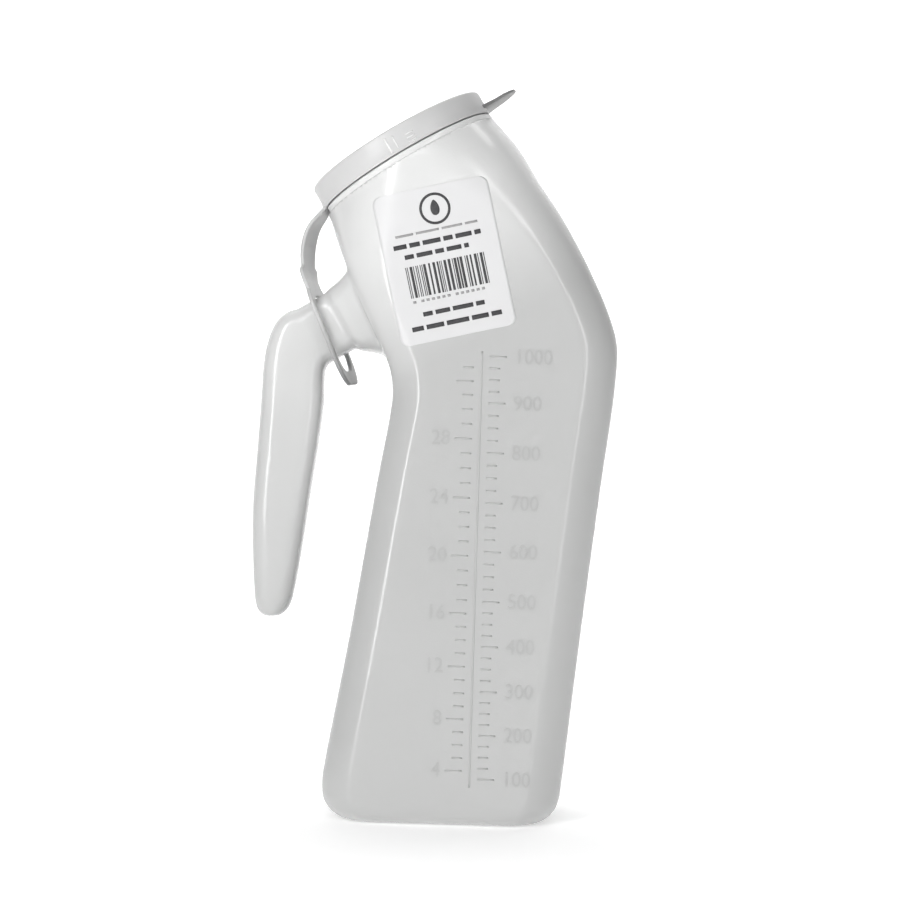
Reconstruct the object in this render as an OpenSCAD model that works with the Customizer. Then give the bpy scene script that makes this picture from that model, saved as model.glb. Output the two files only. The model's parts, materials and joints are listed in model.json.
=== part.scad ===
// Hospital urine bottle: leaning flat-sided bottle with a tilted neck, a free-ended handle
// and a snap lid tethered to a ring round the root of the handle.
// Origin: centre of the resting face. +X away from the handle, -Y the graduated front, +Z up.

/* [Bottle] */
// Wall thickness of the bottle
wall = 1.4; // [1.2:0.1:1.8]
// Half depth of the bottle at its base
base_half_depth = 35.2; // [34:0.1:36]
// Half depth of the bottle at its widest level
panel_half_depth = 33.6; // [32.5:0.1:34.5]
// Corner size between the front panel and the sides
corner_r = 11; // [9:0.5:12]
// Flatness of those corners, from round to a plain bevel
bevel = 0.55; // [0:0.05:0.7]

/* [Neck and lid] */
// Tilt of the neck away from vertical, in degrees
neck_tilt = 32; // [31:0.5:33]
// Outer radius of the neck shoulder below the lid
shoulder_r = 38.3; // [38:0.1:38.6]
// Radius of the mouth bore
mouth_r = 33.2; // [31:0.1:33.6]
// Outer radius of the lid
lid_r = 38; // [37.6:0.1:38.4]
// Height of the lid above the bottom of its skirt
lid_h = 9.5; // [8.5:0.1:10]
// Wall thickness of the lid
lid_wall = 1.2; // [1:0.1:1.4]

/* [Handle] */
// Width of the handle below its bend
grip_w = 24.6; // [23:0.1:25]
// Depth of the handle below its bend
grip_d = 21; // [19:0.5:23]
// Width of the handle at its free end
tip_w = 15.8; // [14:0.1:16]

/* [Tether] */
// Width of the tether strap
strap_w = 14; // [12:0.5:16]
// Thickness of the tether strap and its ring
strap_t = 1.6; // [1.4:0.1:1.8]
// Turn of the ring about its own length, in degrees
ring_turn = 8; // [6:1:9]

/* [Hidden] */

plastic = [0.9, 0.91, 0.9];
soft_plastic = [0.78, 0.79, 0.79];
sticker = [0.97, 0.97, 0.98];

arc_steps = 8;            // points on each rounded corner of a section
gap = 0.02;               // parting between pieces that touch
neck_u = [cos(neck_tilt), 0, sin(neck_tilt)];
neck_a = [-sin(neck_tilt), 0, cos(neck_tilt)];
skirt_c = [-21.2, 0, 259.2];                 // centre of the lid skirt's lower edge
shoulder_c = skirt_c - 3.6 * neck_a;         // centre of the neck shoulder
finish_r = 35.6;                             // outer radius of the rim under the lid
finish_top = lid_h - lid_wall - 0.5;         // rim height above the skirt's lower edge

sh = shoulder_r - 0.5;                       // radius of the body's open upper end

// Each body section: left x, left z, right x, right z, half depth, corner size, corner flatness
SECTIONS = [
    [-35.2, 0, 35.2, 0, base_half_depth - 10.5, corner_r - 2, bevel / 2],
    [-38.6, 0.45, 38.6, 0.45, base_half_depth - 7.3, corner_r - 1, bevel / 2],
    [-42, 2.3, 42, 2.3, base_half_depth - 3.9, corner_r, bevel],
    [-44.9, 5.6, 44.6, 5.6, base_half_depth - 1.4, corner_r + 1, bevel],
    [-46.6, 10, 46.1, 10, base_half_depth - 0.1, corner_r + 1, bevel],
    [-46.6, 18, 47, 18, base_half_depth, corner_r + 0.6, bevel],
    [-38.2, 69.3, 52.2, 71, base_half_depth - 0.6, corner_r, bevel],
    [-28.6, 134, 58.9, 134, panel_half_depth + 0.4, corner_r, bevel],
    [-24.2, 162, 62.5, 164, panel_half_depth, corner_r, bevel],
    [-24.5, 172, 63.7, 181, panel_half_depth, corner_r, bevel],
    [-27, 180, 63, 190, panel_half_depth, corner_r, bevel],
    [-31, 188, 59.2, 201.3, panel_half_depth, corner_r + 0.5, bevel],
    [-36.5, 199, 54.2, 212.2, panel_half_depth + 0.1, corner_r + 1.5, bevel * 0.9],
    [-41.3, 209.5, 48.2, 224, panel_half_depth + 0.4, corner_r + 4, bevel * 0.7],
    [-45.4, 219.5, 39.9, 238.4, panel_half_depth + 1.4, corner_r + 9, bevel * 0.4],
    [-48.6, 228, 30.8, 252, panel_half_depth + 2.9, corner_r + 18, 0],
    [-50.9, 234.6, 22, 266.3, shoulder_r - 0.3, shoulder_r - 3, 0]
];
function lerp(a, b, t) = a + (b - a) * t;
function len3(v) = sqrt(v * v);
// The point a part f round quarter q of a unit circle, drawn by k towards that quarter's chord
function bevelled(q, f, k) = (1 - k) * [cos(90 * (q + f)), sin(90 * (q + f))]
    + k * ((1 - f) * [cos(90 * q), sin(90 * q)] + f * [cos(90 * (q + 1)), sin(90 * (q + 1))]);

// A rounded rectangle of half sizes a and b, as [across, depth] points, with corners flattened by k
function rounded(a, b, r, k = 0) = [for (q = [0:3]) for (j = [0:arc_steps - 1])
    let (sx = (q == 0 || q == 3) ? 1 : -1,
        sy = (q < 2) ? 1 : -1,
        rr = min(r, a, b))
    [sx * (a - rr), sy * (b - rr)] + rr * bevelled(q, (j + 0.5) / arc_steps, k)];

// The flat outline of one section, grown outwards by g, to be hulled with its neighbour
module slab(s, g) {
    l = [s[0], 0, s[1]];
    r = [s[2], 0, s[3]];
    u = (r - l) / len3(r - l);
    c = (l + r) / 2;
    p = rounded(len3(r - l) / 2 + g, s[4] + g, max(s[5] + g, 2), s[6]);
    n = len(p);
    polyhedron(points = [for (q = p) c + u * q[0] + [0, q[1], 0]], faces = [[for (i = [0:n - 1]) i]]);
}

function shifted(s, dz) = [s[0], s[1] + dz, s[2], s[3] + dz, s[4], s[5], s[6]];
function ring_section(c, r, a) = [c[0] - r * neck_u[0] + a * neck_a[0], c[2] - r * neck_u[2] + a * neck_a[2],
    c[0] + r * neck_u[0] + a * neck_a[0], c[2] + r * neck_u[2] + a * neck_a[2], r, r, 0];

// The outside of the bottle, grown by g, up to the top of the shoulder
module outside(g) {
    all = concat(SECTIONS, [ring_section(shoulder_c, shoulder_r, -0.4),
        ring_section(shoulder_c, sh, 0.8)]);
    for (i = [0:len(all) - 2])
        hull() {
            slab(i == 0 && g != 0 ? shifted(all[0], -g) : all[i], g);
            slab(all[i + 1], g);
        }
}

// The hollow of the bottle, open at the top
module inside() {
    throat_r = mouth_r + 1 + wall;
    all = concat([shifted(SECTIONS[0], wall)], [for (i = [3:len(SECTIONS) - 1]) SECTIONS[i]],
        [ring_section(shoulder_c, throat_r, -1), ring_section(shoulder_c, throat_r, 3)]);
    for (i = [0:len(all) - 2])
        hull() {
            slab(all[i], -wall);
            slab(all[i + 1], -wall);
        }
}

// Boss that carries the handle: sections given by distance back from its end, half height, half depth, drop
stem_tilt = 31;                              // slope of the stem below horizontal
stem_dir = [-cos(stem_tilt), 0, -sin(stem_tilt)];
stem_up = [-sin(stem_tilt), 0, cos(stem_tilt)];
boss_end = [-45.2, 0, 195.5];
BOSS = [[16, 22.8, 21, 5.2], [10, 18.6, 17.5, 3.7], [5, 15.6, 14, 1.7], [0, 13.8, 12, 0]];

module stem_slab(d, h, w, g, drop = 0) {
    c = boss_end - stem_dir * d - stem_up * drop;
    p = rounded(h + g, w + g, min(7 + g, w + g));
    n = len(p);
    polyhedron(points = [for (q = p) c + stem_up * q[0] + [0, q[1], 0]], faces = [[for (i = [0:n - 1]) i]]);
}

// The boss grown by g, carried on past its end by a given length
module boss(g, past = 0) {
    last = len(BOSS) - 1;
    for (i = [0:last - 1]) {
        b = BOSS[i];
        c = BOSS[i + 1];
        hull() {
            stem_slab(b[0], b[1], b[2], g, b[3]);
            stem_slab(i + 1 == last ? -past : c[0], c[1], c[2], g, c[3]);
        }
    }
}

module bottle_body() {
    color(plastic)
    difference() {
        union() {
            outside(0);
            boss(0);
        }
        inside();
        boss(-wall, 1);
    }
}

// Coordinates along the neck axis, zero at the lower edge of the lid skirt
module in_lid_frame() {
    translate(skirt_c) rotate([0, -neck_tilt, 0]) children();
}

notch_r = 36.7;                              // radius left beside the knuckle of the strap
module neck_finish() {
    base = -3.6 + 0.81 + gap;
    color(plastic)
    in_lid_frame()
    difference() {
        rotate_extrude($fn = 128)
        polygon([[mouth_r, base], [sh - 0.1, base], [shoulder_r - 0.3, base + 0.4], [shoulder_r - 0.3, -1.5],
            [shoulder_r - 0.8, -1], [finish_r, -0.7], [finish_r, finish_top - 0.8],
            [finish_r - 0.8, finish_top], [mouth_r, finish_top]]);
        translate([-notch_r - 5, -8.2, base - 1]) cube([5, 16.4, -base + 0.6]);
    }
}

// Handle: hollow stem with the seat of the tether ring
stem_len = 15.2;
module handle_stem() {
    color(plastic)
    difference() {
        hull() {
            stem_slab(-gap - 0.01, 12.7, 10.2, 0);
            stem_slab(-stem_len, 12.5, 10.2, 0);
        }
        hull() {
            stem_slab(1, 12.7, 10.2, -wall);
            stem_slab(-stem_len - 1, 12.5, 10.2, -wall);
        }
    }
}

// Grip sections: centre x, centre z, direction of its width in degrees from +X, half width, half depth
stem_end = boss_end + stem_dir * (stem_len + 0.04);
GRIP = [
    [stem_end[0], stem_end[2], 121, 13.2, 10.6],
    [-61.4, 184.9, 132, 13.5, 10.9],
    [-63.1, 180.8, 152, 12.6, 11],
    [-64, 174.2, 172, 12.1, 11],
    [-64.2, 163, 180, grip_w / 2, grip_d / 2],
    [-65.3, 147, 184.5, grip_w / 2 - 0.3, grip_d / 2],
    [-67.5, 122, 186, grip_w / 2 - 1.2, grip_d / 2 - 0.6],
    [-68.6, 100, 186, 9.5, grip_d / 2 - 1.6],
    [-69.2, 86, 186, tip_w / 2, tip_w / 2 + 0.1],
    [-69.4, 81.6, 186, 7.1, 7.2],
    [-69.5, 78.3, 186, 5.5, 5.6],
    [-69.5, 76.4, 186, 2.9, 3]
];

module grip_slab(s, g) {
    u = [cos(s[2]), 0, sin(s[2])];
    p = rounded(max(s[3] + g, 0.6), max(s[4] + g, 0.6), max(min(6.5, s[3] - 0.2) + g, 0.5));
    n = len(p);
    c = [s[0], 0, s[1]];
    polyhedron(points = [for (q = p) c + u * q[0] + [0, q[1], 0]], faces = [[for (i = [0:n - 1]) i]]);
}

module handle_grip() {
    color(plastic)
    difference() {
        for (i = [0:len(GRIP) - 2])
            hull() {
                grip_slab(GRIP[i], 0);
                grip_slab(GRIP[i + 1], 0);
            }
        for (i = [0:len(GRIP) - 4])
            hull() {
                grip_slab(i == 0 ? [stem_end[0] + 0.9, stem_end[2] + 0.5, 121, 13.2, 10.6] : GRIP[i], -wall);
                grip_slab(GRIP[i + 1], -wall);
            }
    }
}

// Tether ring: a flat plate with an oval hole that hangs on the stem
ring_lean = 24;                        // lean of the ring away from vertical
ring_c = [-49.3, 0, 189.55];         // centre of its hole
hole_long = 32;
hole_wide = 23.4;
ring_side = 3.8;
ring_tail = 6.6;
module in_ring_frame() {
    translate(ring_c) rotate([0, -ring_lean, 0]) rotate([0, 0, -ring_turn]) rotate([0, 90, 0]) children();
}

// Outline with round corners of radius r
module oval(l, w, r) {
    hull()
    for (i = [-1, 1])
        for (j = [-1, 1])
            translate([i * (l / 2 - r), j * (w / 2 - r)]) circle(r = r, $fn = 64);
}

ring_top = hole_long / 2 + 6.4;
pad_w = 23;

module tether_ring() {
    color(soft_plastic)
    in_ring_frame()
    translate([0, 0, -strap_t / 2])
    linear_extrude(strap_t)
    difference() {
        union() {
            intersection() {
                oval(hole_long + 2 * ring_tail, hole_wide + 2 * ring_side, 12);
                translate([-ring_top, -30]) square([ring_top + hole_long / 2 + ring_tail - 0.8, 60]);
            }
            translate([-ring_top, -pad_w / 2]) square([6, pad_w]);
        }
        oval(hole_long, hole_wide, 8);
    }
}

// Strap route from the ring pad to the lid, as [x, z, twist in degrees]
pivot_low = [-59.6, 0, 215.6];
pivot_lid = skirt_c - 38.6 * neck_u - 1.6 * neck_a;
STRAP = [[-59.7, 216.6, 14], [-60, 220, 16], [-59.8, 224.4, 15], [-58.9, 229, 12],
    [-57.2, 233, 7], [-54, 236.6, 1]];
knuckle_r = 1.2;
knuckle_gap = 0.35;

module knuckle_cut(p, r) {
    translate(p) rotate([90, 0, 0]) cylinder(h = 40, r = r, center = true, $fn = 48);
}

// Flat pad between the ring and the foot of the strap
module ring_pad() {
    color(soft_plastic)
    difference() {
        hull() {
            in_ring_frame()
                translate([-ring_top - gap - 0.1, 0, 0])
                cube([0.2, pad_w, strap_t], center = true);
            translate([-59.45, 0, 214.2]) rotate([0, -6, -12]) cube([strap_t, pad_w - 1.5, 1], center = true);
        }
        knuckle_cut(pivot_low, knuckle_r + knuckle_gap);
    }
}

module strap_slab(p, q, w, t, z0) {
    ang = atan2(q[0] - p[0], q[1] - p[1]);
    translate([p[0], 0, p[1]]) rotate([0, ang, 0]) rotate([0, 0, -p[2]]) cube([t, w, z0], center = true);
}

// The route point after i, carried straight on past the last one
function strap_next(i) = i < len(STRAP) - 1 ? STRAP[i + 1] : 2 * STRAP[i] - STRAP[i - 1];

module tether_strap() {
    color(soft_plastic)
    difference() {
        for (i = [0:len(STRAP) - 2])
            hull() {
                strap_slab(STRAP[i], strap_next(i), strap_w, strap_t, 0.1);
                strap_slab(STRAP[i + 1], strap_next(i + 1), strap_w, strap_t, 0.1);
            }
        knuckle_cut(pivot_low, knuckle_r + gap);
        knuckle_cut(pivot_lid, knuckle_r + gap);
    }
}

module strap_knuckle() {
    color(soft_plastic) {
        for (p = [pivot_low, pivot_lid])
            translate(p) rotate([90, 0, 0]) cylinder(h = strap_w - 1, r = knuckle_r, center = true, $fn = 48);
    }
}

// Lid: flat top, skirt with a thin lip, open below
module lid_cap() {
    color(soft_plastic)
    in_lid_frame()
    rotate_extrude($fn = 128)
    polygon([[0, lid_h], [lid_r - 1.2, lid_h], [lid_r - 0.3, lid_h - 0.5], [lid_r, lid_h - 1.2], [lid_r, 0],
        [lid_r - lid_wall, 0], [lid_r - lid_wall, lid_h - lid_wall], [0, lid_h - lid_wall]]);
}

// Small grip marks on the front of the skirt
module lid_rim_ribs() {
    color(soft_plastic)
    in_lid_frame() {
        for (a = [-98, -93])
            rotate([0, 0, a]) translate([lid_r + gap, -0.3, 0.8]) cube([0.35, 0.6, lid_h - 2.4]);
        for (k = [0:2])
            rotate([0, 0, -85]) translate([lid_r + gap, -1.6, 1.2 + 1.5 * k]) cube([0.35, 3.2, 0.5]);
    }
}

// Thumb tab: a rounded tongue that continues the top of the lid
tab_len = 11.8;
tab_w = 25;
tab_tip_r = 9;
module lid_tab() {
    color(soft_plastic)
    in_lid_frame()
    translate([0, 0, -0.4])
    rotate([0, -3, 0])
    linear_extrude(1.4)
    difference() {
        hull() {
            translate([lid_r - 8, -tab_w / 2]) square([2, tab_w]);
            translate([lid_r + tab_len + 1.7 - tab_tip_r, 0]) circle(r = tab_tip_r, $fn = 64);
        }
        circle(r = lid_r + 0.2, $fn = 128);
    }
}

// Lug on the lid, just above the knuckle of the strap
lug_w = strap_w + 2;
module lid_hinge_lug() {
    color(soft_plastic)
    in_lid_frame()
    difference() {
        translate([-lid_r - 0.4, -lug_w / 2, 0.15]) cube([3, lug_w, 2.4]);
        translate([0, 0, -5]) cylinder(h = 20, r = lid_r + gap, $fn = 128);
    }
}

// Keeps the part of the children that lies just above the bottle's front, from low to high
module on_front(low, high) {
    difference() {
        intersection() {
            outside(high);
            children();
        }
        outside(low);
    }
}

module front_prism() {
    translate([0, -20, 0]) rotate([90, 0, 0]) linear_extrude(30) children();
}

scale_x = 10.4;                              // place of the line the graduations stand on
spine_w = 0.8;
tick_gap = 3;
tick_w = 0.6;
major = 6.5;                                 // length of every fourth graduation
minor = 4;
oz_ml = 29.57;
// Height of every 100 ml, from empty to full
ML_Z = [2.5, 19.2, 35.9, 52.6, 69.8, 87, 106.1, 124.8, 144, 163.1, 181];
function level(ml) = let (i = min(floor(ml / 100), 9)) lerp(ML_Z[i], ML_Z[i + 1], ml / 100 - i);
relief = 0.35;

module ml_scale() {
    color(plastic)
    on_front(gap, relief)
    front_prism() {
        translate([scale_x - spine_w / 2, 16]) square([spine_w, 167]);
        for (ml = [100:25:1000])
            translate([scale_x + tick_gap, level(ml) - tick_w / 2]) square([ml % 100 == 0 ? major : minor, tick_w]);
    }
}

module oz_scale() {
    color(plastic)
    on_front(gap, relief)
    front_prism()
    for (oz = [4:1:33])
        let (length = oz % 4 == 0 ? major : minor)
        translate([scale_x - tick_gap - length, level(oz * oz_ml) - tick_w / 2]) square([length, tick_w]);
}

// Digits of up to seven strokes: top, upper left, upper right, middle, lower left, lower right, bottom
STROKES = [[1, 1, 1, 0, 1, 1, 1], [0, 0, 1, 0, 0, 1, 0], [1, 0, 1, 1, 1, 0, 1], [1, 0, 1, 1, 0, 1, 1],
    [0, 1, 1, 1, 0, 1, 0], [1, 1, 0, 1, 0, 1, 1], [1, 1, 0, 1, 1, 1, 1], [1, 0, 1, 0, 0, 1, 0],
    [1, 1, 1, 1, 1, 1, 1], [1, 1, 1, 1, 0, 1, 1]];
digit_h = 5.4;
digit_w = 2.3;
stroke = 0.55;
module digit(n) {
    s = STROKES[n];
    h = digit_h / 2 - stroke / 2;
    for (k = [0:2])
        if (s[k * 3] == 1) translate([0, (2 - k) * h]) square([digit_w, stroke]);
    for (k = [0:1])
        for (row = [0:1])
            if (s[row * 3 + 1 + k] == 1)
                translate([k * (digit_w - stroke), (1 - row) * h]) square([stroke, h + stroke]);
}

function digits(n) = n < 10 ? [n] : concat(digits(floor(n / 10)), [n % 10]);
module number(n, x, z) {
    d = digits(n);
    for (i = [0:len(d) - 1]) translate([x + i * (digit_w + 0.9), z - digit_h / 2]) digit(d[i]);
}

module scale_numerals() {
    color(plastic)
    on_front(gap, relief)
    front_prism() {
        for (ml = [100:100:1000]) number(ml, scale_x + 12.4, level(ml));
        for (oz = [4:4:28]) number(oz, scale_x - 18, level(oz * oz_ml));
    }
}

label_w = 45;
label_h = 58;
module label() {
    color(sticker)
    on_front(0.05, 0.25)
    front_prism()
    translate([-5.2, 216.8])
    rotate(13.5)
    offset(r = 3, $fn = 32) square([label_w - 6, label_h - 6], center = true);
}

bottle_body();
neck_finish();
handle_stem();
handle_grip();
tether_ring();
ring_pad();
tether_strap();
strap_knuckle();
lid_cap();
lid_rim_ribs();
lid_tab();
lid_hinge_lug();
ml_scale();
oz_scale();
scale_numerals();
label();
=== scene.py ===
"""Hospital urine bottle: the looks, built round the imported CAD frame."""
import json
import math
import random
import bmesh
import bpy
from mathutils import Matrix, Vector
from mathutils.bvhtree import BVHTree


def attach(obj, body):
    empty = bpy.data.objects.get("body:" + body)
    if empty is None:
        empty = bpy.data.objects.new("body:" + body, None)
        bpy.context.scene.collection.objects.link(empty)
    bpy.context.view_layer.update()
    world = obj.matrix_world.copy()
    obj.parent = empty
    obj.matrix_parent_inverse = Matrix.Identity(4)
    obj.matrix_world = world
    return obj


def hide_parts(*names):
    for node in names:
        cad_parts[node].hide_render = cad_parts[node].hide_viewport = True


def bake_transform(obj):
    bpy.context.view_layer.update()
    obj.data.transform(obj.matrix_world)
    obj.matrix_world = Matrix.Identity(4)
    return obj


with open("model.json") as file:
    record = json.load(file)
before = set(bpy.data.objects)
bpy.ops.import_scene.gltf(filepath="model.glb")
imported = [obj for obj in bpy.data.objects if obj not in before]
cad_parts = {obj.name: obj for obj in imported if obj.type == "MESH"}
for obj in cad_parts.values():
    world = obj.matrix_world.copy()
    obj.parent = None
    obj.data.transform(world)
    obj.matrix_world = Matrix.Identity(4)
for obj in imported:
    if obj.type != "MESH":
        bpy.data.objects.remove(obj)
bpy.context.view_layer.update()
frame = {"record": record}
MM = 0.001
rng = random.Random(7)

# ---------------------------------------------------------------- neck and lid frame
MOUNTS = {m["name"]: m for m in frame["record"]["mounts"]}
NECK_AXIS = Vector(MOUNTS["mouth"]["axis"]).normalized()
ACROSS = Vector((NECK_AXIS.z, 0, -NECK_AXIS.x))
MOUTH_R = MOUNTS["mouth"]["dims"]["r_mm"]
MOUTH_LEN = MOUNTS["mouth"]["dims"]["length_mm"]
LID_R = 38.0
LID_H = 9.5
LID_WALL = 1.2
BOTTLE_WALL = 1.4
RIM_R = 35.6
RIM_TOP = LID_H - LID_WALL - 0.5
STRAP_W = 14.0
SHOULDER_R = 38.3
SHOULDER_DROP = 3.6
SKIRT_C = Vector(MOUNTS["mouth"]["pos_m"]) / MM - NECK_AXIS * (RIM_TOP - MOUTH_LEN / 2)


def lid_point(across, depth, up):
    """A point given along the lid's own axes, in millimetres."""
    return SKIRT_C + ACROSS * across + Vector((0, depth, 0)) + NECK_AXIS * up


# ---------------------------------------------------------------- body outline, in millimetres
CORNER = 11.0
BEVEL = 0.55          # how far a corner is drawn towards its chord
RIGHT_CORNER = 5.5    # extra size of a bevelled corner on the right
BASE_DEPTH = 35.2
PANEL_DEPTH = 33.6
# Left x, left z, right x, right z, half depth, corner size, corner flatness
SECTIONS = [
    (-35.2, 0, 35.2, 0, BASE_DEPTH - 10.5, CORNER - 2, BEVEL / 2),
    (-38.6, 0.45, 38.6, 0.45, BASE_DEPTH - 7.3, CORNER - 1, BEVEL / 2),
    (-42, 2.3, 42, 2.3, BASE_DEPTH - 3.9, CORNER, BEVEL),
    (-44.9, 5.6, 44.6, 5.6, BASE_DEPTH - 1.4, CORNER + 1, BEVEL),
    (-46.6, 10, 46.1, 10, BASE_DEPTH - 0.1, CORNER + 1, BEVEL),
    (-46.6, 18, 47, 18, BASE_DEPTH, CORNER + 0.6, BEVEL),
    (-38.2, 69.3, 52.2, 71, BASE_DEPTH - 0.6, CORNER, BEVEL),
    (-28.6, 134, 58.9, 134, PANEL_DEPTH + 0.4, CORNER, BEVEL),
    (-24.2, 162, 62.5, 164, PANEL_DEPTH, CORNER, BEVEL),
    (-24.5, 172, 63.7, 181, PANEL_DEPTH, CORNER, BEVEL),
    (-27, 180, 63, 190, PANEL_DEPTH, CORNER, BEVEL),
    (-31, 188, 59.2, 201.3, PANEL_DEPTH, CORNER + 0.5, BEVEL),
    (-36.5, 199, 54.2, 212.2, PANEL_DEPTH + 0.1, CORNER + 1.5, BEVEL * 0.9),
    (-41.3, 209.5, 48.2, 224, PANEL_DEPTH + 0.4, CORNER + 4, BEVEL * 0.7),
    (-45.4, 219.5, 39.9, 238.4, PANEL_DEPTH + 1.4, CORNER + 9, BEVEL * 0.4),
    (-48.6, 228, 30.8, 252, PANEL_DEPTH + 2.9, CORNER + 18, 0),
    (-50.9, 234.6, 22, 266.3, SHOULDER_R - 0.3, SHOULDER_R - 3, 0),
]
BOSS_END = Vector((-45.2, 0, 195.5))
STEM_TILT = math.radians(31)
STEM_DIR = Vector((-math.cos(STEM_TILT), 0, -math.sin(STEM_TILT)))
STEM_UP = Vector((-math.sin(STEM_TILT), 0, math.cos(STEM_TILT)))
STEM_LEN = 15.2
# Distance back from the boss's end face, half height, half depth, drop
BOSS = [
    (19, 25.2, 27.5, 5.7),
    (14, 21, 22.6, 5),
    (9, 17.8, 17.8, 3.6),
    (4.5, 15.2, 14.2, 1.9),
    (1, 13.8, 12.6, 0.8),
    (0, 13.6, 12.4, 0.7),
]
# Distance along the stem, half height, half depth
STEM = [(-3, 12.3, 10), (STEM_LEN + 1.5, 12.4, 10.2)]
GRIP_DEPTH = 10.5
# Centre x, centre z, direction of the width in degrees, half width, half depth
GRIP = [
    (-58.23, 187.67, 121, 13.2, 10.6),
    (-61.4, 184.9, 132, 13.5, 10.9),
    (-63.1, 180.8, 152, 12.6, 11),
    (-64, 174.2, 172, 12.1, 11),
    (-64.2, 163, 180, 12.3, GRIP_DEPTH),
    (-65.3, 147, 184.5, 12, GRIP_DEPTH),
    (-67.5, 122, 186, 11.1, GRIP_DEPTH - 0.6),
    (-68.6, 100, 186, 9.5, GRIP_DEPTH - 1.6),
    (-69.2, 86, 186, 7.9, 8),
    (-69.4, 81.6, 186, 7.1, 7.2),
    (-69.5, 78.3, 186, 5.5, 5.6),
    (-69.5, 76.4, 186, 2.9, 3),
]


# ---------------------------------------------------------------- mesh helpers
def smooth_rows(rows, steps):
    """Extra rows between the given ones, on a cardinal spline with a low pull."""
    out = []
    last = len(rows) - 1
    for i in range(last):
        a, b, c, d = (rows[max(i - 1, 0)], rows[i], rows[i + 1], rows[min(i + 2, last)])
        span = abs(c[1] - b[1]) + abs(c[0] - b[0]) + 1e-6
        before = abs(b[1] - a[1]) + abs(b[0] - a[0]) + 1e-6
        after = abs(d[1] - c[1]) + abs(d[0] - c[0]) + 1e-6
        for k in range(steps):
            t = k / steps
            h = (2 * t**3 - 3 * t**2 + 1, t**3 - 2 * t**2 + t, 3 * t**2 - 2 * t**3, t**3 - t**2)
            row = []
            for pa, pb, pc, pd in zip(a, b, c, d):
                m0 = (pc - pa) / (span + before) * span
                m1 = (pd - pb) / (span + after) * span
                row.append(h[0] * pb + h[1] * m0 + h[2] * pc + h[3] * m1)
            out.append(tuple(row))
    out.append(rows[-1])
    return out


def rounded(a, b, left_r, steps=12, flat=0.0, right_r=None):
    """Points of a rectangle of half sizes a and b, its round corners drawn towards their chords by flat."""
    pts = []
    for q in range(4):
        r = min(left_r if right_r is None or q in (1, 2) else right_r, a, b)
        sx = 1 if q in (0, 3) else -1
        sy = 1 if q < 2 else -1
        start, end = math.radians(90 * q), math.radians(90 * (q + 1))
        for j in range(steps):
            f = (j + 0.5) / steps
            t = start + (end - start) * f
            x = (1 - flat) * math.cos(t) + flat * ((1 - f) * math.cos(start) + f * math.cos(end))
            y = (1 - flat) * math.sin(t) + flat * ((1 - f) * math.sin(start) + f * math.sin(end))
            pts.append((sx * (a - r) + r * x, sy * (b - r) + r * y))
    return pts


def loft(bm, rings, closed=True):
    """Skins a list of rings of points, in millimetres."""
    loops = [[bm.verts.new(Vector(p) * MM) for p in ring] for ring in rings]
    for lo, hi in zip(loops, loops[1:]):
        n = len(lo)
        for i in range(n):
            bm.faces.new((lo[i], lo[(i + 1) % n], hi[(i + 1) % n], hi[i]))
    if closed:
        bm.faces.new(loops[0][::-1])
        bm.faces.new(loops[-1])
    return loops


def new_object(name, bm, smooth=True):
    """Puts a finished mesh into the scene, its faces turned outwards."""
    bmesh.ops.recalc_face_normals(bm, faces=bm.faces[:])
    mesh = bpy.data.meshes.new(name)
    bm.to_mesh(mesh)
    bm.free()
    obj = bpy.data.objects.new(name, mesh)
    bpy.context.collection.objects.link(obj)
    for p in mesh.polygons:
        p.use_smooth = smooth
    return obj


def apply_modifiers(obj):
    """Replaces the object's mesh with what its modifiers make of it."""
    graph = bpy.context.evaluated_depsgraph_get()
    mesh = bpy.data.meshes.new_from_object(obj.evaluated_get(graph))
    obj.modifiers.clear()
    obj.data = mesh
    return obj


def remesh(obj, voxel, rounds, factor=0.5):
    """One even skin over all that the object holds, then relaxed."""
    mod = obj.modifiers.new("remesh", "REMESH")
    mod.mode = "VOXEL"
    mod.voxel_size = voxel * MM
    mod.use_smooth_shade = True
    soft = obj.modifiers.new("relax", "SMOOTH")
    soft.factor = factor
    soft.iterations = rounds
    apply_modifiers(obj)
    for p in obj.data.polygons:
        p.use_smooth = True
    return obj


def section_ring(row):
    """The outline of one row of SECTIONS."""
    left = Vector((row[0], 0, row[1]))
    right = Vector((row[2], 0, row[3]))
    along = (right - left).normalized()
    centre = (left + right) / 2
    return [centre + along * p[0] + Vector((0, p[1], 0))
            for p in rounded((right - left).length / 2, row[4], row[5], 14, row[6],
                             row[5] + row[6] * RIGHT_CORNER)]


def circle_row(radius, up):
    """A round row for section_ring, at a height on the neck's axis."""
    lo = lid_point(-radius, 0, up)
    hi = lid_point(radius, 0, up)
    return (lo.x, lo.z, hi.x, hi.z, radius, radius, 0)


# ---------------------------------------------------------------- bottle
SHOULDER_UP = -SHOULDER_DROP - 0.4


def stem_ring(d, high, deep, corner, drop=0.0):
    """A ring across the stem, a distance beyond the boss's end."""
    centre = BOSS_END + STEM_DIR * d - STEM_UP * drop
    return [centre + STEM_UP * p[0] + Vector((0, p[1], 0)) for p in rounded(high, deep, corner, 8)]


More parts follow.
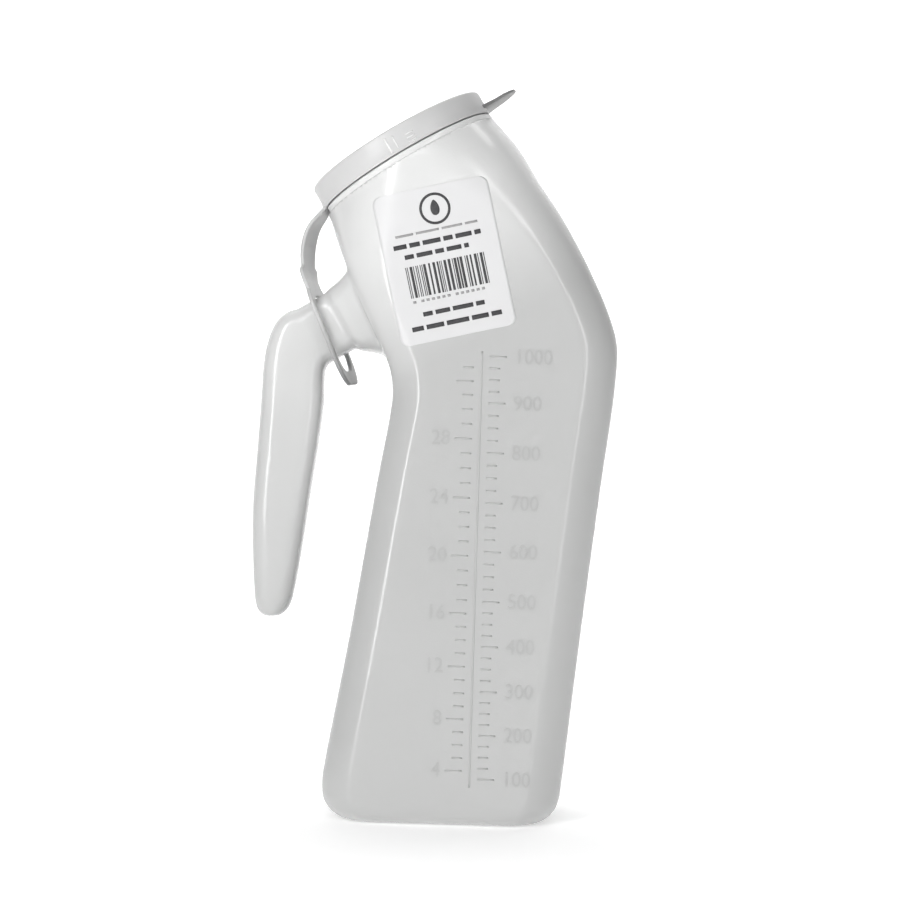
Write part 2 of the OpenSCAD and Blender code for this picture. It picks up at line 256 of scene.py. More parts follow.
def make_bottle():
    """Body, boss, stem and hollow grip as the one moulding they are."""
    bm = bmesh.new()
    rows = smooth_rows(SECTIONS + [circle_row(SHOULDER_R, SHOULDER_UP)], 5)
    rows += [circle_row(SHOULDER_R - 0.5, SHOULDER_UP + 1.2), circle_row(SHOULDER_R - 0.5, 6)]
    loft(bm, [section_ring(r) for r in rows])
    loft(bm, [stem_ring(-d, h, w, 7, drop) for d, h, w, drop in BOSS])
    loft(bm, [stem_ring(d, h, w, 6.5) for d, h, w in STEM])
    grip = []
    for x, z, turn, half_w, half_d in smooth_rows(GRIP, 5):
        t = math.radians(turn)
        out = Vector((math.cos(t), 0, math.sin(t)))
        grip.append([Vector((x, 0, z)) + out * p[0] + Vector((0, p[1], 0))
                     for p in rounded(half_w, half_d, min(6.5, half_w - 0.1, half_d - 0.1), 8)])
    loft(bm, grip)
    obj = remesh(new_object("bottle_shell", bm), 1.15, 8)
    bm = bmesh.new()
    bm.from_mesh(obj.data)
    cut = lid_point(0, 0, SHOULDER_UP + 1.2) * MM
    bmesh.ops.bisect_plane(bm, geom=bm.verts[:] + bm.edges[:] + bm.faces[:], plane_co=cut,
                           plane_no=NECK_AXIS, clear_outer=True)
    bm.to_mesh(obj.data)
    bm.free()
    return obj


bottle = make_bottle()
skin = BVHTree.FromObject(bottle, bpy.context.evaluated_depsgraph_get())


def front_y(x, z):
    """Depth of the bottle's front at a place seen from the front, in millimetres."""
    hit = skin.ray_cast(Vector((x * MM, -0.2, z * MM)), Vector((0, 1, 0)))
    return hit[0].y / MM if hit[0] else -PANEL_DEPTH


wall = bottle.modifiers.new("wall", "SOLIDIFY")
wall.thickness = BOTTLE_WALL * MM
wall.offset = -1
apply_modifiers(bottle)
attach(bottle, "bottle")
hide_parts("bottle_body", "handle_stem", "handle_grip")


def lathe(name, profile, steps=160, notch=None):
    """Turns an outline of (radius, height) points about the neck axis, less a notch beside the strap."""
    def at(r, t, up):
        if notch and math.cos(t) < 0 and abs(r * math.sin(t)) < STRAP_W / 2 + 1.4:
            r = min(r, notch)
        return lid_point(r * math.cos(t), r * math.sin(t), up) * MM

    bm = bmesh.new()
    rings = []
    for r, up in profile:
        if r <= 0:
            rings.append([bm.verts.new(lid_point(0, 0, up) * MM)])
        else:
            rings.append([bm.verts.new(at(r, 2 * math.pi * k / steps, up)) for k in range(steps)])
    pairs = list(zip(rings, rings[1:]))
    if len(rings[0]) > 1:
        pairs.append((rings[-1], rings[0]))
    for lo, hi in pairs:
        for k in range(steps):
            m = (k + 1) % steps
            if len(lo) == 1:
                bm.faces.new((lo[0], hi[k], hi[m]))
            elif len(hi) == 1:
                bm.faces.new((lo[k], lo[m], hi[0]))
            else:
                bm.faces.new((lo[k], lo[m], hi[m], hi[k]))
    return new_object(name, bm)


def fillet(cx, cy, r, start, end, steps=6):
    """Points on an arc, for the outline of a lathe."""
    return [(cx + r * math.cos(math.radians(start + (end - start) * k / steps)),
             cy + r * math.sin(math.radians(start + (end - start) * k / steps))) for k in range(steps + 1)]


RIM_BASE = -SHOULDER_DROP + 0.75
NOTCH_R = 36.6
COLLAR_R = SHOULDER_R - 0.34
rim = lathe("neck_rim", [(MOUTH_R, RIM_BASE), (COLLAR_R - 0.1, RIM_BASE), (COLLAR_R, RIM_BASE + 0.2)]
            + fillet(COLLAR_R - 0.6, -1.1, 0.6, 0, 80)
            + [(RIM_R + 0.3, -0.45), (RIM_R, -0.2), (RIM_R, RIM_TOP - 1.6)]
            + fillet(RIM_R - 0.9, RIM_TOP - 0.9, 0.9, 0, 90)
            + fillet(MOUTH_R + 0.5, RIM_TOP - 0.5, 0.5, 90, 180), notch=NOTCH_R)
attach(rim, "bottle")
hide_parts("neck_finish")

# ---------------------------------------------------------------- lid
LID_IN = LID_R - LID_WALL
lid_outline = ([(0, LID_H - 0.5), (LID_R - 9, LID_H - 0.5)]
               + [(LID_R - 7.5, LID_H - 0.35), (LID_R - 6.5, LID_H - 0.05)]
               + fillet(LID_R - 0.9, LID_H - 0.9, 0.9, 88, 4)
               + [(LID_R, 4.4), (LID_R, 1.1), (LID_R - 0.12, 0.9)]
               + fillet(LID_R - 0.35, 0.35, 0.35, 0, -90, 4)
               + fillet(LID_IN + 0.3, 0.3, 0.3, -90, -180, 4)
               + [(LID_IN - 0.15, 1.0), (LID_IN, 1.9), (LID_IN, LID_H - LID_WALL - 0.8)]
               + fillet(LID_IN - 0.8, LID_H - LID_WALL - 0.8, 0.8, 0, 90, 4)
               + [(0, LID_H - LID_WALL - 0.05)])
lid = lathe("lid_cap_shell", lid_outline)
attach(lid, "lid")
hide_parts("lid_cap")

TAB_TIP = 51.7
TAB_TIP_R = 9.0
TAB_HALF = 12.5
TAB_HEIGHT = 2.25
TAB_RISE = 0.85
RIDGE_MID = 46.4
# Angle in degrees, width, lower and upper height of each rib on the skirt
RIBS = [(-98, 0.7, 0.9, 7.4), (-93.4, 0.5, 1.4, 6.6)]
RIBS += [(-84, 3.4, 1.2 + 1.5 * k, 1.75 + 1.5 * k) for k in range(3)]


def make_tab():
    """Thin tongue that thins to its tip, with two finger ridges across it."""
    bm = bmesh.new()
    rows = []
    root = LID_R - 0.9
    for k in range(25):
        s = k / 24
        r = root + (TAB_TIP - root) * s
        blend = min(1.0, (r - root) / (TAB_TIP - TAB_TIP_R - root))
        half = TAB_HALF + (TAB_TIP_R - TAB_HALF) * blend
        over = r - (TAB_TIP - TAB_TIP_R)
        if over > 0:
            half = math.sqrt(max(TAB_TIP_R**2 - over**2, 0.2))
        rows.append((r, half, s))
    rings = []
    for r, half, s in rows:
        mid = TAB_HEIGHT + TAB_RISE * s
        t = 0.75 - 0.35 * s
        ridge = 0.18 * max(0, math.cos((r - RIDGE_MID) * 2.4)) if 44 < r < 49 else 0
        ring = []
        for p in rounded(half, t + ridge * 0.5, 0.35, 6):
            bow = 0.25 * (p[0] / TAB_HALF) ** 2
            ring.append(lid_point(r - 2.0 * (p[0] / TAB_HALF) ** 2 * (1 - s), p[0], mid + p[1] + bow))
        rings.append(ring)
    loft(bm, rings)
    return new_object("thumb_tab", bm)


tab = make_tab()
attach(tab, "lid")
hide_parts("lid_tab")


def make_ribs():
    """Upright ribs and short grip bars on the front of the skirt."""
    bm = bmesh.new()
    for deg, width, lo, hi in RIBS:
        rings = []
        for k in range(9):
            t = math.radians(deg) + (k / 8 - 0.5) * width / LID_R
            swell = 0.3 * math.sqrt(max(1 - (2 * k / 8 - 1) ** 2, 0)) + 0.02
            rings.append([lid_point((LID_R + d) * math.cos(t), (LID_R + d) * math.sin(t), up)
                          for d, up in ((-0.25, lo), (swell, lo + 0.12), (swell, hi - 0.12), (-0.25, hi))])
        loft(bm, rings)
    return new_object("skirt_ribs", bm)


ribs = make_ribs()
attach(ribs, "lid")
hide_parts("lid_rim_ribs")

# ---------------------------------------------------------------- tether
RING_LEAN = math.radians(24)
RING_TURN = math.radians(8)
RING_C = Vector((-49.3, 0, 189.55))
HOLE_LONG = 32.0
HOLE_WIDE = 23.4
RING_SIDE = 3.8
RING_TAIL = 6.6
RING_TOP = HOLE_LONG / 2 + 6.4
PAD_W = 23.0
STRAP_T = 1.6
RING_FRAME = Matrix.Rotation(-RING_LEAN, 3, "Y") @ Matrix.Rotation(-RING_TURN, 3, "Z")


def ring_point(down, side, thick):
    """A point given along the ring's own axes."""
    return RING_C + RING_FRAME @ Vector((thick, side, -down))


def oval(long, wide, corner):
    """An outline with round corners, its long side first."""
    return rounded(long / 2, wide / 2, corner, 18)


# Centre x, centre z, twist in degrees, width
STRAP = [(-58.55, 210.2, 8.6, PAD_W), (-59.3, 213.2, 11, PAD_W - 1), (-59.6, 215.2, 13, PAD_W - 3),
         (-59.7, 216.2, 14, STRAP_W + 1), (-59.8, 217.4, 15, STRAP_W), (-60, 220, 16, STRAP_W),
         (-59.8, 224.4, 16, STRAP_W), (-58.9, 229, 15, STRAP_W), (-57.2, 233, 12, STRAP_W),
         (-54.8, 236.4, 8, STRAP_W), (-53.3, 238.6, 4, STRAP_W), (-52.7, 239.8, 2, STRAP_W)]
SPLIT = 6             # row of STRAP where the mesh is parted in two


def make_tether():
    """Ring, pad and strap of one moulding, then parted half way up the strap."""
    bm = bmesh.new()
    hole = oval(HOLE_LONG, HOLE_WIDE, 8)
    steps = len(hole)
    rim_pts = [(min(x, HOLE_LONG / 2 + RING_TAIL - 0.8), y)
               for x, y in oval(HOLE_LONG + 2 * RING_TAIL, HOLE_WIDE + 2 * RING_SIDE, 12)]
    half = STRAP_T / 2
    loops = []
    for outline, thick in ((hole, -half), (hole, half), (rim_pts, half), (rim_pts, -half)):
        loops.append([bm.verts.new(ring_point(p[0], p[1], thick) * MM) for p in outline])
    for a, b in zip(loops, loops[1:] + loops[:1]):
        for i in range(steps):
            bm.faces.new((a[i], a[(i + 1) % steps], b[(i + 1) % steps], b[i]))
    pad = [[ring_point(d, s, t) for s, t in ((-PAD_W / 2, -half), (PAD_W / 2, -half), (PAD_W / 2, half),
                                            (-PAD_W / 2, half))] for d in (-16.6, -RING_TOP - 0.6)]
    loft(bm, pad)
    rows = smooth_rows(STRAP, 4)
    rings = []
    for i, (x, z, twist, width) in enumerate(rows):
        x0, z0 = rows[max(i - 1, 0)][:2]
        x1, z1 = rows[min(i + 1, len(rows) - 1)][:2]
        up = Vector((x1 - x0, 0, z1 - z0)).normalized()
        t = math.radians(twist)
        side = Vector((math.sin(t), math.cos(t), 0))
        side = (side - up * side.dot(up)).normalized()
        face = up.cross(side)
        rings.append([Vector((x, 0, z)) + side * p[0] + face * p[1]
                      for p in rounded(width / 2, half, 0.5, 3)])
    loft(bm, rings)
    return remesh(new_object("tether", bm), 0.42, 3, 0.4)


tether = make_tether()


def part_of(obj, name, plane, normal):
    """The part of a closed mesh behind a plane, closed again at the cut."""
    bm = bmesh.new()
    bm.from_mesh(obj.data)
    cut = bmesh.ops.bisect_plane(bm, geom=bm.verts[:] + bm.edges[:] + bm.faces[:], plane_co=plane * MM,
                                 plane_no=normal, clear_outer=True)
    edges = [e for e in cut["geom_cut"] if isinstance(e, bmesh.types.BMEdge)]
    bmesh.ops.contextual_create(bm, geom=edges)
    return new_object(name, bm)


mid = Vector((STRAP[SPLIT][0], 0, STRAP[SPLIT][1]))
lower = part_of(tether, "tether_ring_and_strap", mid, Vector((0, 0, 1)))
upper = part_of(tether, "tether_strap_top", mid, Vector((0, 0, -1)))
bpy.data.objects.remove(tether)
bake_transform(lower)
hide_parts("tether_ring", "ring_pad", "tether_strap")
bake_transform(upper)
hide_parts("strap_knuckle")


LUG_W = 16.0


def make_lug():
    """Thickened root of the strap on the skirt."""
    bm = bmesh.new()
    rings = []
    for k in range(17):
        t = math.pi + (k / 16 - 0.5) * LUG_W / LID_R
        ease = math.sin(math.pi * min(max(k / 16, 0.03), 0.97)) ** 0.35
        edge, crest = 0.3 * ease, 0.38 * ease
        outline = ((-0.5, 0.15), (edge, 0.2), (crest, 0.8), (edge, 2.2), (-0.5, 2.6))
        rings.append([lid_point((LID_R + d) * math.cos(t), (LID_R + d) * math.sin(t), up)
                      for d, up in outline])
    loft(bm, rings)
    return new_object("hinge_lug", bm)


lug = make_lug()
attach(lug, "lid")
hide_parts("lid_hinge_lug")

# ---------------------------------------------------------------- marks that follow the front
def ridge(bm, start, end, width, height):
    """A low rounded ridge laid on the front from one (x, z) place to another."""
    start, end = Vector(start), Vector(end)
    run = (end - start).length
    along = (end - start) / run
    across = Vector((-along.y, along.x))
    steps = max(2, int(run / 2.0))
    section = ((-0.5, -0.15), (-0.4, 0.7), (-0.15, 1), (0.15, 1), (0.4, 0.7), (0.5, -0.15))
    rings = []
    for k in range(steps + 1):
        p = start + along * run * k / steps
        ring = []
        for side, up in section:
            x, z = p + across * side * width
            ring.append(Vector((x, front_y(x, z) - up * height, z)))
        rings.append(ring)
    loft(bm, rings)


RELIEF = 0.18
SPINE_X = 10.4
TICK_GAP = 3.0
MAJOR = 6.5
MINOR = 4.0
TICK_W = 0.7
SPINE_W = 0.8
SPINE_ENDS = (16, 183)
ML_NUMBER_X = SPINE_X + 12.4
OZ_NUMBER_X = SPINE_X - 11.2
OZ_ML = 29.57
# Height of every 100 ml of urine, from empty to full
ML_Z = (2.5, 19.2, 35.9, 52.6, 69.8, 87, 106.1, 124.8, 144, 163.1, 181)


def level(ml):
    """Height of a graduation."""
    i = min(int(ml // 100), 9)
    return ML_Z[i] + (ML_Z[i + 1] - ML_Z[i]) * (ml / 100 - i)


def make_ml_scale():
    """The centre line, with the millilitre graduations on its right."""
    bm = bmesh.new()
    ridge(bm, (SPINE_X, SPINE_ENDS[0]), (SPINE_X, SPINE_ENDS[1]), SPINE_W, RELIEF)
    for ml in range(100, 1001, 25):
        length = MAJOR if ml % 100 == 0 else MINOR
        z = level(ml)
        ridge(bm, (SPINE_X + TICK_GAP, z), (SPINE_X + TICK_GAP + length, z), TICK_W, RELIEF)
    return new_object("ml_graduations", bm)


def make_oz_scale():
    """The ounce graduations on the left of the centre line."""
    bm = bmesh.new()
    for oz in range(4, 34):
        length = MAJOR if oz % 4 == 0 else MINOR
        z = level(oz * OZ_ML)
        ridge(bm, (SPINE_X - TICK_GAP - length, z), (SPINE_X - TICK_GAP, z), TICK_W, RELIEF)
    return new_object("oz_graduations", bm)


DIGIT_SIZE = 8.2


def make_numerals():
    """Raised plain numbers beside the graduations."""
    bm = bmesh.new()
    places = [(str(ml), ML_NUMBER_X, level(ml), "LEFT") for ml in range(100, 1001, 100)]
    places += [(str(oz), OZ_NUMBER_X, level(oz * OZ_ML), "RIGHT") for oz in range(4, 29, 4)]
    for words, x, z, side in places:
        curve = bpy.data.curves.new("number", "FONT")
        curve.body = words
        curve.size = DIGIT_SIZE
        curve.align_x = side
        curve.align_y = "CENTER"
        curve.extrude = 0.5
        curve.resolution_u = 3
        text = bpy.data.objects.new("number", curve)
        bpy.context.collection.objects.link(text)
        graph = bpy.context.evaluated_depsgraph_get()
        graph.update()
        mesh = bpy.data.meshes.new_from_object(text.evaluated_get(graph))
        for v in mesh.vertices:
            px, pz = x + v.co.x * 0.9, z + v.co.y
            up = RELIEF if v.co.z > 0 else -0.12
            v.co = Vector((px, front_y(px, pz) - up, pz)) * MM
        bm.from_mesh(mesh)
        bpy.data.meshes.remove(mesh)
        bpy.data.objects.remove(text)
    bmesh.ops.remove_doubles(bm, verts=bm.verts[:], dist=1e-6)
    return new_object("scale_numbers", bm, smooth=False)


marks = {"ml_scale": make_ml_scale(), "oz_scale": make_oz_scale(), "scale_numerals": make_numerals()}
for node, piece in marks.items():
    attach(piece, "bottle")
    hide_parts(node)

# ---------------------------------------------------------------- label
LABEL_W = 45.0
LABEL_H = 58.0
LABEL_R = 3.2
LABEL_C = Vector((-5.2, 216.8))
LABEL_TURN = math.radians(13.5)
FILM = 0.16
INK = 0.03
# Centre, height on the label, width and thickness of each printed line
DARK_LINES = [(-1.0, 8.6, 34, 1.75), (-2.0, 4.4, 25, 1.7), (0.0, -18.2, 24, 1.7), (0.2, -23.2, 35, 1.8)]
CODE_HALF_W = 15.2
CODE_UP = -5.4
CODE_H = 12.0
CODE_WIDTHS = (0.33, 0.33, 0.66, 0.99)
DIGITS_UP = -13.0
EMBLEM_AT = (0.6, 20.4)
EMBLEM_RING = (5.0, 6.0)


def on_label(a, b):
    """Place in x and z of a point given across and up the label."""
    c, s = math.cos(LABEL_TURN), math.sin(LABEL_TURN)
    return LABEL_C.x + a * c - b * s, LABEL_C.y + a * s + b * c


def sheet_patch(bm, rows, low, high):
    """A thin closed sheet over rows of (across, up) label places."""
    layers = []
    for lift in (low, high):
        layer = []
        for row in rows:
            line = []
            for a, b in row:
                x, z = on_label(a, b)
                line.append(bm.verts.new(Vector((x, front_y(x, z) - lift, z)) * MM))
            layer.append(line)
        layers.append(layer)
    back, front = layers
    n, m = len(rows), len(rows[0])
    for i in range(n - 1):
        for j in range(m - 1):
            bm.faces.new((front[i][j], front[i][j + 1], front[i + 1][j + 1], front[i + 1][j]))
            bm.faces.new((back[i][j], back[i + 1][j], back[i + 1][j + 1], back[i][j + 1]))
    edge = ([(0, j) for j in range(m)] + [(i, m - 1) for i in range(1, n)]
            + [(n - 1, j) for j in range(m - 2, -1, -1)] + [(i, 0) for i in range(n - 2, 0, -1)])
    for (i0, j0), (i1, j1) in zip(edge, edge[1:] + edge[:1]):
        bm.faces.new((front[i0][j0], back[i0][j0], back[i1][j1], front[i1][j1]))


def make_label():
    """The film, a sheet with round corners."""
    bm = bmesh.new()
    corner = [-LABEL_H / 2 + LABEL_R * (1 - math.cos(math.pi / 2 * k / 8)) for k in range(9)]
    inner = 46
    span = LABEL_H - 2 * LABEL_R
    ups = corner + [-LABEL_H / 2 + LABEL_R + span * k / inner for k in range(1, inner)]
    ups += [-u for u in reversed(corner)]
    rows = []
    for b in ups:
        over = max(abs(b) - (LABEL_H / 2 - LABEL_R), 0)
        half = LABEL_W / 2 - LABEL_R + math.sqrt(max(LABEL_R**2 - over**2, 0.0))
        rows.append([(half * (2 * j / 44 - 1), b) for j in range(45)])
    sheet_patch(bm, rows, 0.03, FILM)
    return new_object("label_film", bm)


def printed(bm, rows):
    """A patch of ink on the film."""
    sheet_patch(bm, rows, FILM - 0.02, FILM + INK)


def bar(bm, a, b, width, height):
    """A printed bar centred across and up the label."""
    cols = max(1, round(width / 1.2))
    lines = max(1, round(height / 1.5))
    rows = [[(a - width / 2 + width * j / cols, b - height / 2 + height * i / lines) for j in range(cols + 1)]
            for i in range(lines + 1)]
    printed(bm, rows)


def words(bm, centre, up, width, height):
    """A line of plain bars, as long as words are."""
    left = centre - width / 2
    while left < centre + width / 2 - 1.2:
        length = min(rng.uniform(3.2, 9.0), centre + width / 2 - left)
        bar(bm, left + length / 2, up, length, height)
        left += length + 1.1


def make_dark_print():
    """Lines of bars and a made-up bar pattern."""
    bm = bmesh.new()
    for line in DARK_LINES:
        words(bm, *line)
    x = -CODE_HALF_W
    while x < CODE_HALF_W:
        width = rng.choice(CODE_WIDTHS)
        bar(bm, x + width / 2, CODE_UP, width, CODE_H)
        x += width + rng.choice(CODE_WIDTHS)
    return new_object("label_bars", bm)


def make_emblem():
    """A plain drop in a ring, which stands for no maker."""
    bm = bmesh.new()
    centre_a, centre_b = EMBLEM_AT
    steps = 48
    rows = []
    for k in range(steps + 1):
        t = 2 * math.pi * k / steps
        rows.append([(centre_a + r * math.cos(t), centre_b + r * math.sin(t)) for r in EMBLEM_RING])
    printed(bm, rows)
    rows = []
    for k in range(21):
        s = k / 20
        up = centre_b - 2.6 + 6.0 * s
        half = 2.25 * math.sqrt(s) * (1 - s) ** 0.75 * 1.75 + 0.03
        rows.append([(centre_a + half * f, up) for f in (-1, -0.5, 0, 0.5, 1)])
    printed(bm, rows)
    bmesh.ops.remove_doubles(bm, verts=bm.verts[:], dist=1e-7)
    return new_object("label_emblem", bm)


def make_grey_print():
    """A thin line, and short marks where the digits of a bar pattern would be."""
    bm = bmesh.new()
    words(bm, 0.0, 12.6, 33, 0.9)
    left = -15.0
    for group in (1, 6, 6):
        for _ in range(group):
            bar(bm, left + 0.8, DIGITS_UP, 1.2, 1.0)
            left += 2.05
        left += 1.1
    return new_object("label_fine_print", bm)


label_pieces = {"label_film": make_label(), "label_bars": make_dark_print(), "label_emblem": make_emblem(),
                "label_fine_print": make_grey_print()}
for piece in label_pieces.values():
    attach(piece, "bottle")
    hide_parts("label")


# ---------------------------------------------------------------- materials
# Where tones change, in metres: along the neck's axis, out to the handle, and up the handle and the ring
NECK_FROM, NECK_TO = 0.155, 0.207
HANDLE_FROM, HANDLE_TO = 0.049, 0.056
GRIP_FROM, GRIP_TO = 0.08, 0.185
# The ring's low end is darkened between the tail heights below, a painted shade under the boss.
TAIL_FROM, TAIL_TO = 0.172, 0.195


def shader(name, **values):
    """A new material, its node tree and its surface shader."""
    mat = bpy.data.materials.new(name)
    mat.use_nodes = True
    bsdf = mat.node_tree.nodes["Principled BSDF"]
    for key, value in values.items():
        bsdf.inputs[key.replace("_", " ")].default_value = value
    return mat, mat.node_tree, bsdf


def noise(tree, scale, detail=3.0, stretch=(1, 1, 1)):
    """Object-space noise of a given scale per metre."""
    coord = tree.nodes.new("ShaderNodeTexCoord")
    mapping = tree.nodes.new("ShaderNodeMapping")
    mapping.inputs["Scale"].default_value = stretch
    tex = tree.nodes.new("ShaderNodeTexNoise")
    tex.inputs["Scale"].default_value = scale
    tex.inputs["Detail"].default_value = detail
    tree.links.new(coord.outputs["Object"], mapping.inputs["Vector"])
    tree.links.new(mapping.outputs["Vector"], tex.inputs["Vector"])
    return tex.outputs["Fac"]


def ramp(tree, value, low, high, from_low=0.3, from_high=0.7):
    """A value carried from one range to another."""
    node = tree.nodes.new("ShaderNodeMapRange")
    node.inputs["From Min"].default_value = from_low
    node.inputs["From Max"].default_value = from_high
    node.inputs["To Min"].default_value = low
    node.inputs["To Max"].default_value = high
    tree.links.new(value, node.inputs["Value"])
    return node.outputs["Result"]


def two_colours(tree, value, low, high):
    """A blend from one colour to another, each given as red, green and blue."""
    node = tree.nodes.new("ShaderNodeValToRGB")
    node.color_ramp.elements[0].position = 0.2
    node.color_ramp.elements[0].color = (*low, 1)
    node.color_ramp.elements[1].position = 0.8
    node.color_ramp.elements[1].color = (*high, 1)
    tree.links.new(value, node.inputs["Fac"])
    return node.outputs["Color"]


def bump(tree, bsdf, layers):
    """Stacks bumps given as (height socket, distance in metres, strength)."""
    last = None
    for height, distance, strength in layers:
        node = tree.nodes.new("ShaderNodeBump")
        node.inputs["Distance"].default_value = distance
        node.inputs["Strength"].default_value = strength
        tree.links.new(height, node.inputs["Height"])
        if last:
            tree.links.new(last, node.inputs["Normal"])
        last = node.outputs["Normal"]
    tree.links.new(last, bsdf.inputs["Normal"])


def seam_height(tree):
    """One on the mould's parting plane, nought a third of a millimetre away."""
    coord = tree.nodes.new("ShaderNodeTexCoord")
    split = tree.nodes.new("ShaderNodeSeparateXYZ")
    tree.links.new(coord.outputs["Object"], split.inputs["Vector"])
    size = tree.nodes.new("ShaderNodeMath")
    size.operation = "ABSOLUTE"
    tree.links.new(split.outputs["Y"], size.inputs[0])
    return ramp(tree, size.outputs[0], 1.0, 0.0, 0.0, 0.00035)


def along_axis(tree, direction, start, end, most=1.0):
    """Rises from nought along a direction of the object, between two distances in metres."""
    coord = tree.nodes.new("ShaderNodeTexCoord")
    dot = tree.nodes.new("ShaderNodeVectorMath")
    dot.operation = "DOT_PRODUCT"
    dot.inputs[1].default_value = direction
    tree.links.new(coord.outputs["Object"], dot.inputs[0])
    return ramp(tree, dot.outputs["Value"], 0.0, most, start, end)


def combine(tree, how, a, b):
    """Two values put together by a maths operation."""
    node = tree.nodes.new("ShaderNodeMath")
    node.operation = how
    tree.links.new(a, node.inputs[0])
    tree.links.new(b, node.inputs[1])
    return node.outputs[0]


def blend_colours(tree, factor, a, b):
    """Colour a where the factor is nought, colour b where it is one."""
    node = tree.nodes.new("ShaderNodeMix")
    node.data_type = "RGBA"
    tree.links.new(factor, node.inputs["Factor"])
    tree.links.new(a, node.inputs["A"])
    tree.links.new(b, node.inputs["B"])
    return node.outputs["Result"]


def blown_plastic():
    """Milky polyethylene, whiter towards the neck and further up the handle."""
    mat, tree, bsdf = shader("natural_polyethylene", Roughness=0.18, IOR=1.5, Subsurface_Weight=0.25,
                             Subsurface_Radius=(1.0, 1.0, 1.0), Subsurface_Scale=0.0015)
    cloud = noise(tree, 14, 1)
    # Two greys: the lower one for the wall, the whiter one laid towards the neck and up the handle.
    thin = two_colours(tree, cloud, (0.485, 0.488, 0.485), (0.515, 0.518, 0.515))
    thick = two_colours(tree, cloud, (0.675, 0.678, 0.675), (0.705, 0.708, 0.705))
    neck = along_axis(tree, tuple(NECK_AXIS), NECK_FROM, NECK_TO)
    handle = combine(tree, "MULTIPLY", along_axis(tree, (-1, 0, 0), HANDLE_FROM, HANDLE_TO, 0.6),
                     along_axis(tree, (0, 0, 1), GRIP_FROM, GRIP_TO))
    factor = combine(tree, "MAXIMUM", neck, handle)
    tree.links.new(blend_colours(tree, factor, thin, thick), bsdf.inputs["Base Color"])
    tree.links.new(ramp(tree, noise(tree, 60, 2), 0.19, 0.25, 0.2, 0.8), bsdf.inputs["Roughness"])
    bump(tree, bsdf, [(noise(tree, 30, 2, (1, 1, 0.35)), 0.0016, 0.2), (noise(tree, 1400, 3), 0.00006, 0.35),
                      (seam_height(tree), 0.0002, 0.6)])
    return mat


def mark_plastic():
    """The same plastic on the raised marks, painted a little greyer than the wall as shade along the marks.
    """
    mat, tree, bsdf = shader("raised_marks", Roughness=0.3, IOR=1.5)
    # Painted shade: the marks are a darker grey than the wall around them, standing in for the shading at
    # their edges.
    tree.links.new(two_colours(tree, noise(tree, 60, 3), (0.425, 0.428, 0.425), (0.445, 0.448, 0.445)),
                   bsdf.inputs["Base Color"])
    bump(tree, bsdf, [(noise(tree, 1400, 3), 0.00006, 0.35)])
    return mat


def cloudy(tree, low, high):
    """A faintly clouded grey between two levels."""
    return two_colours(tree, noise(tree, 40, 4), (low, low, low), (high, high, high))


def soft_plastic(name, low, high, tail_shade=None):
    """Injection-moulded plastic between two greys, with two darker greys painted at the ring's low end as
    shade under the boss.
    """
    mat, tree, bsdf = shader(name, Roughness=0.36, IOR=1.5, Subsurface_Weight=0.25,
                             Subsurface_Radius=(1.0, 1.0, 1.0), Subsurface_Scale=0.001)
    colour = cloudy(tree, low, high)
    if tail_shade:
        height = along_axis(tree, (0, 0, 1), TAIL_FROM, TAIL_TO)
        colour = blend_colours(tree, height, cloudy(tree, *tail_shade), colour)
    tree.links.new(colour, bsdf.inputs["Base Color"])
    tree.links.new(ramp(tree, noise(tree, 90, 4), 0.3, 0.42), bsdf.inputs["Roughness"])
    bump(tree, bsdf, [(noise(tree, 60, 2), 0.0008, 0.18), (noise(tree, 1800, 3), 0.00005, 0.4)])
    return mat


def film():
    """The label's white plastic film."""
    mat, tree, bsdf = shader("label_white_film", Roughness=0.42, IOR=1.45)
    tree.links.new(two_colours(tree, noise(tree, 70, 3), (0.64, 0.64, 0.645), (0.66, 0.66, 0.665)),
                   bsdf.inputs["Base Color"])
    bump(tree, bsdf, [(noise(tree, 120, 3), 0.0003, 0.12), (noise(tree, 2500, 2), 0.00003, 0.3)])
    return mat


def ink(name, low, high):
    """Printing ink between two colours."""
    mat, tree, bsdf = shader(name, Roughness=0.5, IOR=1.45)
    tree.links.new(two_colours(tree, noise(tree, 900, 3), low, high), bsdf.inputs["Base Color"])
    bump(tree, bsdf, [(noise(tree, 2500, 2), 0.00003, 0.3)])
    return mat


def dress(material, *objs):
    """Gives the objects one material."""
    for obj in objs:
        obj.data.materials.clear()
        obj.data.materials.append(material)


dress(blown_plastic(), bottle, rim)
dress(mark_plastic(), *marks.values())
dress(soft_plastic("lid_plastic", 0.55, 0.58), lid, lug)
# Painted highlight: the skirt ribs are a much lighter grey than the lid, standing in for the light caught
# along them.
dress(soft_plastic("ribs_painted_highlight", 0.78, 0.82), ribs)
# Painted shade: the tether is a darker grey than the lid, for its strap turned from the light, and darker
# still at the ring's low end under the boss.
dress(soft_plastic("tether_plastic", 0.48, 0.51, tail_shade=(0.2, 0.24)), lower, upper)
# Painted shade: the tab is a far darker grey than the lid it is moulded with, standing in for the shade on
# its underside.
dress(soft_plastic("tab_painted_shade", 0.17, 0.19), tab)
dress(film(), label_pieces["label_film"])
black = ink("label_black_ink", (0.035, 0.035, 0.038), (0.06, 0.06, 0.062))
dress(black, label_pieces["label_bars"], label_pieces["label_emblem"])
dress(ink("label_grey_ink", (0.28, 0.28, 0.28), (0.36, 0.36, 0.36)), label_pieces["label_fine_print"])


# ---------------------------------------------------------------- stage, lights and camera
FLOOR_BACK = 0.9
SWEEP_R = 0.7


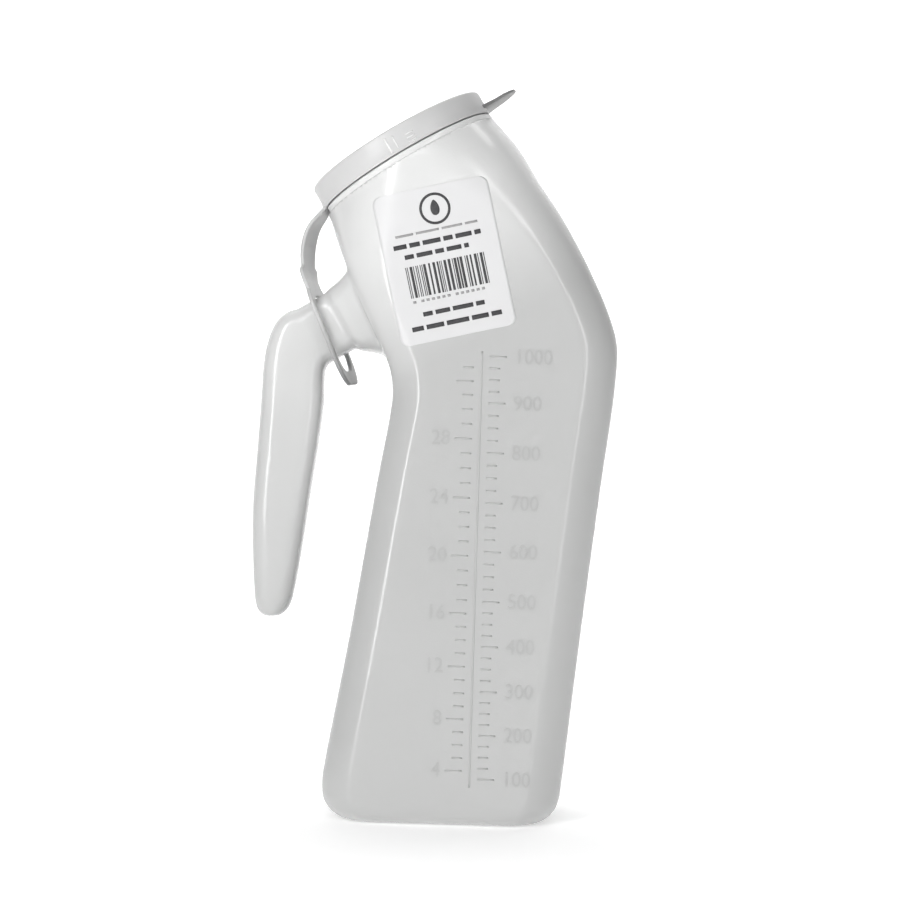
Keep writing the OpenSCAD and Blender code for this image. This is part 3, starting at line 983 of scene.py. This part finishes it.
def make_stage():
    """A pale floor that sweeps up into a plain backdrop."""
    bm = bmesh.new()
    outline = [(-2.2, 0.0), (FLOOR_BACK, 0.0)]
    for degrees in range(6, 91, 6):
        t = math.radians(degrees)
        outline.append((FLOOR_BACK + SWEEP_R * math.sin(t), SWEEP_R - SWEEP_R * math.cos(t)))
    outline.append((FLOOR_BACK + SWEEP_R, 2.6))
    for (y0, z0), (y1, z1) in zip(outline, outline[1:]):
        corners = ((-2.6, y0, z0), (2.6, y0, z0), (2.6, y1, z1), (-2.6, y1, z1))
        bm.faces.new([bm.verts.new(p) for p in corners])
    bmesh.ops.remove_doubles(bm, verts=bm.verts[:], dist=1e-6)
    obj = new_object("studio_sweep", bm)
    mat, tree, bsdf = shader("studio_paper", Roughness=0.9)
    bsdf.inputs["Specular IOR Level"].default_value = 0.1
    tree.links.new(two_colours(tree, noise(tree, 3, 2), (0.93, 0.93, 0.93), (0.95, 0.95, 0.95)),
                   bsdf.inputs["Base Color"])
    bsdf.inputs["Emission Color"].default_value = (1, 1, 1, 1)
    bsdf.inputs["Emission Strength"].default_value = 0.33
    dress(mat, obj)


def soft_light(name, place, target, size, power):
    """A rectangular light that faces a target, its size in metres and its power in watts."""
    data = bpy.data.lights.new(name, "AREA")
    data.shape = "RECTANGLE"
    data.size, data.size_y = size
    data.energy = power
    obj = bpy.data.objects.new(name, data)
    obj.location = place
    obj.rotation_euler = (Vector(target) - Vector(place)).to_track_quat("-Z", "Y").to_euler()
    bpy.context.collection.objects.link(obj)


make_stage()
soft_light("left_strip", (-0.62, -1.05, 0.3), (0, 0, 0.15), (0.14, 1.3), 11.5)
soft_light("right_strip", (0.72, -1.0, 0.42), (0, 0, 0.15), (0.08, 1.2), 4.0)
soft_light("front_high", (-0.1, -1.3, 1.0), (0, 0, 0.17), (0.6, 0.4), 3.6)
soft_light("backdrop", (0, 0.55, 1.9), (0, 1.5, 0.6), (2.4, 0.6), 24)

world = bpy.data.worlds.new("studio")
world.use_nodes = True
world.node_tree.nodes["Background"].inputs["Color"].default_value = (1, 1, 1, 1)
world.node_tree.nodes["Background"].inputs["Strength"].default_value = 0.05
bpy.context.scene.world = world
bpy.context.scene.view_settings.view_transform = "Standard"

CAMERA_ROLL = math.radians(1.75)
CAMERA_DISTANCE = 0.785
FIELD = 0.36
CAMERA_X = -0.0008
CAMERA_Z = 0.1448
camera_data = bpy.data.cameras.new("camera")
camera_data.lens = camera_data.sensor_width * CAMERA_DISTANCE / FIELD
camera = bpy.data.objects.new("camera", camera_data)
bpy.context.collection.objects.link(camera)
roll_cos, roll_sin = math.cos(CAMERA_ROLL), math.sin(CAMERA_ROLL)
camera.matrix_world = Matrix((
    (roll_cos, -roll_sin, 0, CAMERA_X),
    (0, 0, -1, -CAMERA_DISTANCE),
    (roll_sin, roll_cos, 0, CAMERA_Z),
    (0, 0, 0, 1),
))
bpy.context.scene.camera = camera
